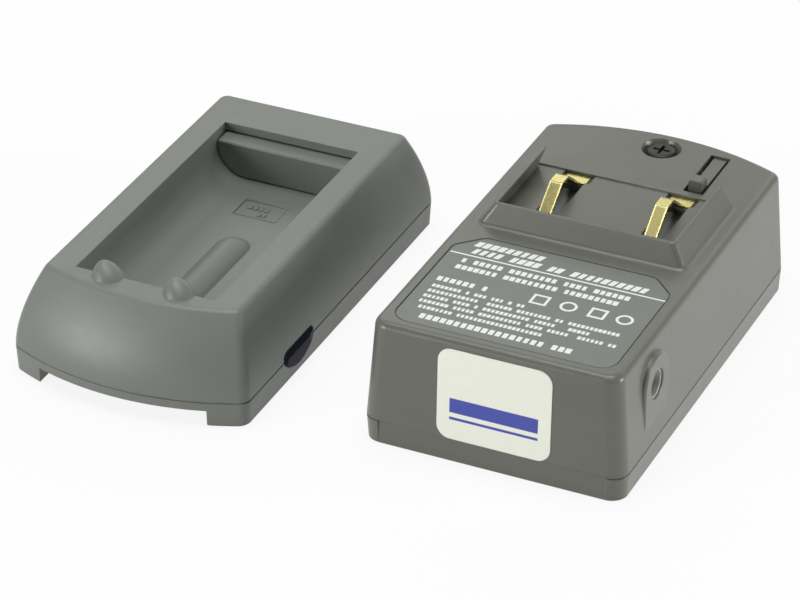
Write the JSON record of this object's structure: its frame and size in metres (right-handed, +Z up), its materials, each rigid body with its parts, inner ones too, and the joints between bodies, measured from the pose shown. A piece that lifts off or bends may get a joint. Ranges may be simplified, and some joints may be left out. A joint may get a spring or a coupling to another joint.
{
  "type": "camera battery charger",
  "caption": "Two-piece travel charger for a camera battery: a plate with an open battery bay and sprung pusher, beside a mains base with a plug dock, catch, car-lead socket and label.",
  "frame": {"origin": "centre of the bottom of the box round both halves, on the surface they lie on", "axes": "+X from the battery plate to the mains base, +Y from the plate's bowed end to the base's bowed end, +Z up"},
  "size_m": [0.1272, 0.1049, 0.0313],
  "materials": {
    "base_housing": "fine-textured satin moulding",
    "plate_housing": "fine-textured satin moulding",
    "label_film": "satin printed film",
    "paper_label": "matte paper",
    "contact_brass": "rolled sheet",
    "spring_steel": "drawn wire",
    "black_screw": "black oxide",
    "zinc_screw": "zinc plated",
    "circuit_board": "solder resist",
    "ferrite": "sintered ferrite",
    "winding_tape": "winding under polyester tape",
    "capacitor_sleeve": "can in a shrunk sleeve",
    "chip_black": "moulded epoxy",
    "fuse_ceramic": "ceramic tube with caps",
    "jack_grey": "moulded",
    "jack_pin_metal": "plated pin",
    "lens_dark": "smoked light pipe",
    "led_clear": "clear resin"
  },
  "bodies": {
    "charger": {"base_shell": "base_housing", "base_tray": "base_housing", "plate_bezel": "plate_housing", "plate_tray": "plate_housing", "label_panel": "label_film", "side_sticker": "paper_label", "mains_contact_left": "contact_brass", "mains_contact_right": "contact_brass", "output_contact_1": "contact_brass", "output_contact_2": "contact_brass", "output_contact_3": "contact_brass", "battery_contact_1": "contact_brass", "battery_contact_2": "contact_brass", "battery_contact_3": "contact_brass", "input_pad_1": "contact_brass", "input_pad_2": "contact_brass", "input_pad_3": "contact_brass", "latch_pin": "spring_steel", "latch_spring": "spring_steel", "slider_spring_left": "spring_steel", "slider_spring_right": "spring_steel", "case_screw": "black_screw", "plate_screw_near": "zinc_screw", "plate_screw_far": "zinc_screw", "power_board": "circuit_board", "charge_board": "circuit_board", "transformer_core": "ferrite", "transformer_winding": "winding_tape", "primary_capacitor": "capacitor_sleeve", "output_capacitor": "capacitor_sleeve", "bridge_rectifier": "chip_black", "control_chip": "chip_black", "optocoupler": "chip_black", "charge_chip": "chip_black", "fuse": "fuse_ceramic", "dc_jack": "jack_grey", "dc_jack_pin": "jack_pin_metal", "indicator_lens": "lens_dark", "indicator_led": "led_clear"},
    "slider": {"battery_slider": "plate_housing"},
    "latch": {"plug_latch": "base_housing"}
  },
  "joints": [
    {"name": "slider_push", "type": "slide", "parent": "charger", "child": "slider", "axis": [0, 1, 0], "range_m": [0, 0.004], "stiffness_N_per_m": 150, "springref_m": -0.01, "deforming": ["slider_spring_left", "slider_spring_right"]},
    {"name": "latch_press", "type": "hinge", "parent": "charger", "child": "latch", "pos_m": [0.04895, 0.04475, 0.0232], "axis": [1, 0, 0], "range_deg": [0, 8], "stiffness_Nm_per_rad": 0.0576, "springref_deg": -8.59, "deforming": ["latch_spring"]}
  ]
}
